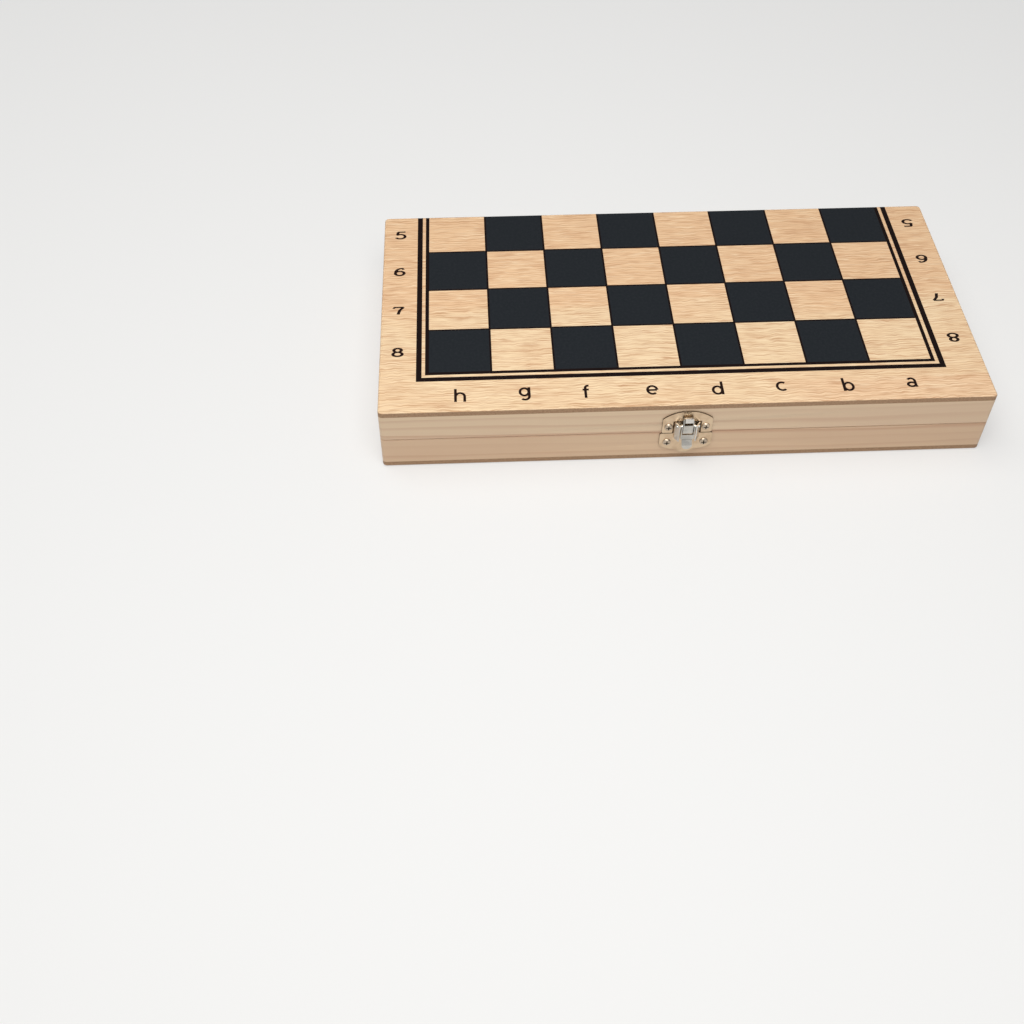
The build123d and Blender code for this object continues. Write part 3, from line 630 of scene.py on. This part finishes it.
# Carving on each side of the head: centre, spread across, spread in height and depth in millimetres
head_carving = [
    (0.14, 0.76, 0.06, 0.022, 0.8),
    (0.14, 0.76, 0.12, 0.05, -0.7),
    (0.22, 0.60, 0.15, 0.06, 0.6),
    (0.72, 0.61, 0.04, 0.02, -0.8),
    (0.66, 0.535, 0.12, 0.012, -0.8),
    (0.02, 0.60, 0.06, 0.10, -0.6),
]
foot_profile = np.array([
    [0.96, 0.0], [1.0, 0.012], [1.0, 0.062], [0.96, 0.075], [0.83, 0.098], [0.78, 0.128], [0.66, 0.152],
    [0.57, 0.185], [0.55, 0.222], [0.62, 0.236], [0.64, 0.25], [0.62, 0.265], [0.5, 0.27],
])
ear_rows = np.array([[-0.14, 0.80, 0.07], [-0.15, 0.88, 0.1], [-0.12, 0.95, 0.06], [-0.09, 0.995, 0.008]])
knight_height = 1.43 * square
head_share = 0.74
head_half_thickness = 0.4
knight_rim = 0.07
mane_locks = 9
lock_depth = 0.5 * mm


def smooth_rows(rows, steps):
    """Catmull-Rom curve through the rows: a cubic on each span that leaves every row in the
    direction of the line between its two neighbours."""
    padded = np.concatenate([2 * rows[:1] - rows[1:2], rows, 2 * rows[-1:] - rows[-2:-1]])
    before, start, end, after = (padded[i : i + len(rows) - 1, None] for i in range(4))
    t = np.linspace(0, 1, steps, endpoint=False)[:, None]
    square_term = (2 * before - 5 * start + 4 * end - after) * t**2
    cube_term = (3 * start - before - 3 * end + after) * t**3
    curve = start + ((end - before) * t + square_term + cube_term) / 2
    return np.concatenate([curve.reshape(-1, rows.shape[1]), rows[-1:]])


def carved_head(foot, height):
    """Egg-shaped rings laid across from the mane to the chest: with t round the ring, a point is
    half way plus cos t times half the width, and sin t to the power 0.8 times the thickness, less
    towards the mane. Locks of the mane are a wave along the rings, carving is added as bells."""
    head = head_share * height
    rows = smooth_rows(head_rows, 6) * np.array([foot, head, foot, head, foot])
    turn = np.linspace(0, 2 * np.pi, 40, endpoint=False)
    mane, chest, thick = rows[:, None, 0:2], rows[:, None, 2:4], rows[:, 4:5]
    across = (mane + chest) / 2 + (chest - mane) / 2 * np.cos(turn)[None, :, None]
    back = (1 - np.cos(turn)) / 2
    side = np.sign(np.sin(turn)) * np.abs(np.sin(turn)) ** 0.8
    spread = thick * side * (1 - 0.3 * back**2)
    along = np.linspace(0, 1, len(rows))[:, None]
    lock = np.abs(np.sin(np.pi * mane_locks * (along * 2.2 + 0.12 * np.cos(turn)))) - 0.6
    relief = lock * lock_depth * np.clip(back * 3 - 1.9, 0, 1) * np.clip(5 - along * 11, 0, 1)
    for x, z, wide, tall, depth in head_carving:
        away = ((across[..., 0] / foot - x) / wide) ** 2 + ((across[..., 1] / head - z) / tall) ** 2
        relief = relief + depth * mm * np.exp(-away)
    spread = spread + np.sign(side) * relief * np.abs(side)
    spread = np.clip(spread, -head_half_thickness * foot, head_half_thickness * foot)
    return np.stack([across[..., 0], spread, across[..., 1] + height - head], -1)


def ear(foot, height, side):
    """Rings of a pointed leaf, leaning out to one side as it rises."""
    head = head_share * height
    rows = smooth_rows(ear_rows, 4)
    turn = np.linspace(0, 2 * np.pi, 12, endpoint=False)
    x = foot * (rows[:, :1] + rows[:, 2:] * np.cos(turn))
    y = foot * (side * (0.12 + 0.4 * (rows[:, 1:2] - 0.8)) + 0.8 * rows[:, 2:] * np.sin(turn))
    return np.stack([x, y, np.broadcast_to(height - head + head * rows[:, 1:2], x.shape)], -1)


def lathe(profile, foot, height):
    """Rings about Z at the profile's rises: its radius times the cosine and sine of the turn."""
    turn = np.linspace(0, 2 * np.pi, 48, endpoint=False)
    x, y = (foot * profile[:, :1] * f(turn) for f in (np.cos, np.sin))
    return np.stack([x, y, np.broadcast_to(height * profile[:, 1:], x.shape)], -1)


def knight(node, wood):
    """Standing knight turned onto its side: its foot's rim and one cheek touch the tray's floor."""
    low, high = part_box(node)
    foot, height = (high.x - low.x) / 2, knight_height
    heading = 1 if low.y + high.y < 0 else -1
    dip = math.atan2(foot * (1 - head_half_thickness), height * (1 - knight_rim))
    shells = [lathe(foot_profile, foot, height), carved_head(foot, height)]
    shells += [ear(foot, height, side) for side in (-1, 1)]
    points, faces = [], []
    for rings in shells:
        first = sum(len(p) for p in points)
        points.append(rings.reshape(-1, 3))
        faces += [[first + v for v in face] for face in skin(*rings.shape[:2])]
    standing = np.concatenate(points)
    cos, sin = math.cos(dip), math.sin(dip)
    axes = np.array([[heading, 0, 0], [0, -heading * sin, -cos], [0, heading * cos, -sin]])
    foot_y = low.y if heading > 0 else high.y
    rise = foot * cos + knight_rim * height * sin
    origin = [(low.x + high.x) / 2, foot_y + heading * foot * sin, low.z + rise]
    piece = new_piece(node.replace("knight", "carved_knight"), standing @ axes + origin, faces, wood)
    piece.data.polygons.foreach_set("use_smooth", [True] * len(faces))
    piece.data.set_sharp_from_angle(angle=math.radians(38))
    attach(piece, "lower_half")
    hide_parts(node)


for number in (1, 2):
    knight(f"white_knight_{number}", pale)
    knight(f"black_knight_{number}", dark)


# Floor: a plain pale surface, which also shows pale to the camera and in the metal.
floor_reach = 6.0
floor_level = -0.2 * mm
white = (1.0, 1.0, 1.0, 1.0)
pale_floor = Finish("pale_floor")
pale_floor.finish(Base_Color=srgb(226, 225, 222), Roughness=0.9)
lit = pale_floor.nodes.new("ShaderNodeEmission")
lit.inputs["Color"].default_value = white
seen = pale_floor.nodes.new("ShaderNodeLightPath")
to_camera, to_gloss, through = (
    Socket(pale_floor, seen.outputs[f"Is {kind} Ray"]) for kind in ("Camera", "Glossy", "Transmission")
)
both = pale_floor.nodes.new("ShaderNodeMixShader")
seen_share = to_camera.math("MAXIMUM", to_gloss).math("MAXIMUM", through) * 0.45
pale_floor.feed(both.inputs[0], seen_share)
pale_floor.links.new(pale_floor.surface.outputs[0], both.inputs[1])
pale_floor.links.new(lit.outputs[0], both.inputs[2])
pale_floor.links.new(both.outputs[0], pale_floor.nodes["Material Output"].inputs["Surface"])
corners = [(x * floor_reach, y * floor_reach, floor_level) for x, y in ((-1, -1), (1, -1), (1, 1), (-1, 1))]
floor = new_piece("floor", corners, [(0, 1, 2, 3)], pale_floor.material)


# Light: a broad soft lamp above, a smaller one near the front edge, a grey room, and a dark card
# high at the back that only shows in polished metal.
def softbox(name, place, target, size, power):
    """A square lamp that faces its target."""
    lamp = bpy.data.lights.new(name, "AREA")
    lamp.shape, lamp.size, lamp.energy = "SQUARE", size, power
    holder = bpy.data.objects.new(name, lamp)
    holder.location = place
    holder.rotation_euler = (Vector(target) - Vector(place)).to_track_quat("-Z", "Y").to_euler()
    bpy.context.scene.collection.objects.link(holder)


softbox("top_lamp", (-0.35, 0.1, 1.0), (0.0, 0.0, 0.0), 0.7, 4.1)
softbox("near_lamp", (-0.05, -0.3, 0.6), (0.0, -0.05, 0.02), 0.4, 2.7)
card_corners = [(-0.9, 0.75, 1.15), (0.9, 0.75, 1.15), (0.9, 1.25, 0.45), (-0.9, 1.25, 0.45)]
card_black = Finish("dark_card").finish(Base_Color=srgb(30, 28, 26), Roughness=0.9)
card = new_piece("dark_card", card_corners, [(0, 1, 2, 3)], card_black)
card.visible_camera = card.visible_diffuse = card.visible_shadow = card.visible_transmission = False
room = bpy.data.worlds.new("room")
room.use_nodes = True
parts, wires = room.node_tree.nodes, room.node_tree.links
grey, pale_room = parts["Background"], parts.new("ShaderNodeBackground")
choice, ray, either = (parts.new(f"ShaderNode{kind}") for kind in ("MixShader", "LightPath", "Math"))
for shade, strength in ((grey, 0.225), (pale_room, 0.75)):
    shade.inputs["Color"].default_value = white
    shade.inputs["Strength"].default_value = strength
either.operation = "MAXIMUM"
wires.new(ray.outputs["Is Camera Ray"], either.inputs[0])
wires.new(ray.outputs["Is Glossy Ray"], either.inputs[1])
wires.new(either.outputs[0], choice.inputs[0])
wires.new(grey.outputs[0], choice.inputs[1])
wires.new(pale_room.outputs[0], choice.inputs[2])
wires.new(choice.outputs[0], parts["World Output"].inputs["Surface"])
bpy.context.scene.world = room


# Camera: where the photograph was taken from, with its long side's lens and the same crop.
picture_width = 1024
focal_pixels = 1268.7
drop_pixels = 37.0
camera = bpy.data.cameras.new("camera")
camera.sensor_width = 36.0
camera.lens = focal_pixels / picture_width * camera.sensor_width
camera.shift_y = -drop_pixels / picture_width
camera.clip_start, camera.clip_end = 0.01, 20.0
right = Vector((0.999171, -0.040717, 0.000592))
down = Vector((-0.030068, -0.747501, -0.663580))
forward = Vector((0.027461, 0.663011, -0.748105))
eye = bpy.data.objects.new("camera", camera)
turned = Matrix((right, -down, -forward)).transposed().to_4x4()
eye.matrix_world = Matrix.Translation((-0.08258, -0.40134, 0.37669)) @ turned
bpy.context.scene.collection.objects.link(eye)
bpy.context.scene.camera = eye
bpy.context.scene.view_settings.view_transform = "Standard"
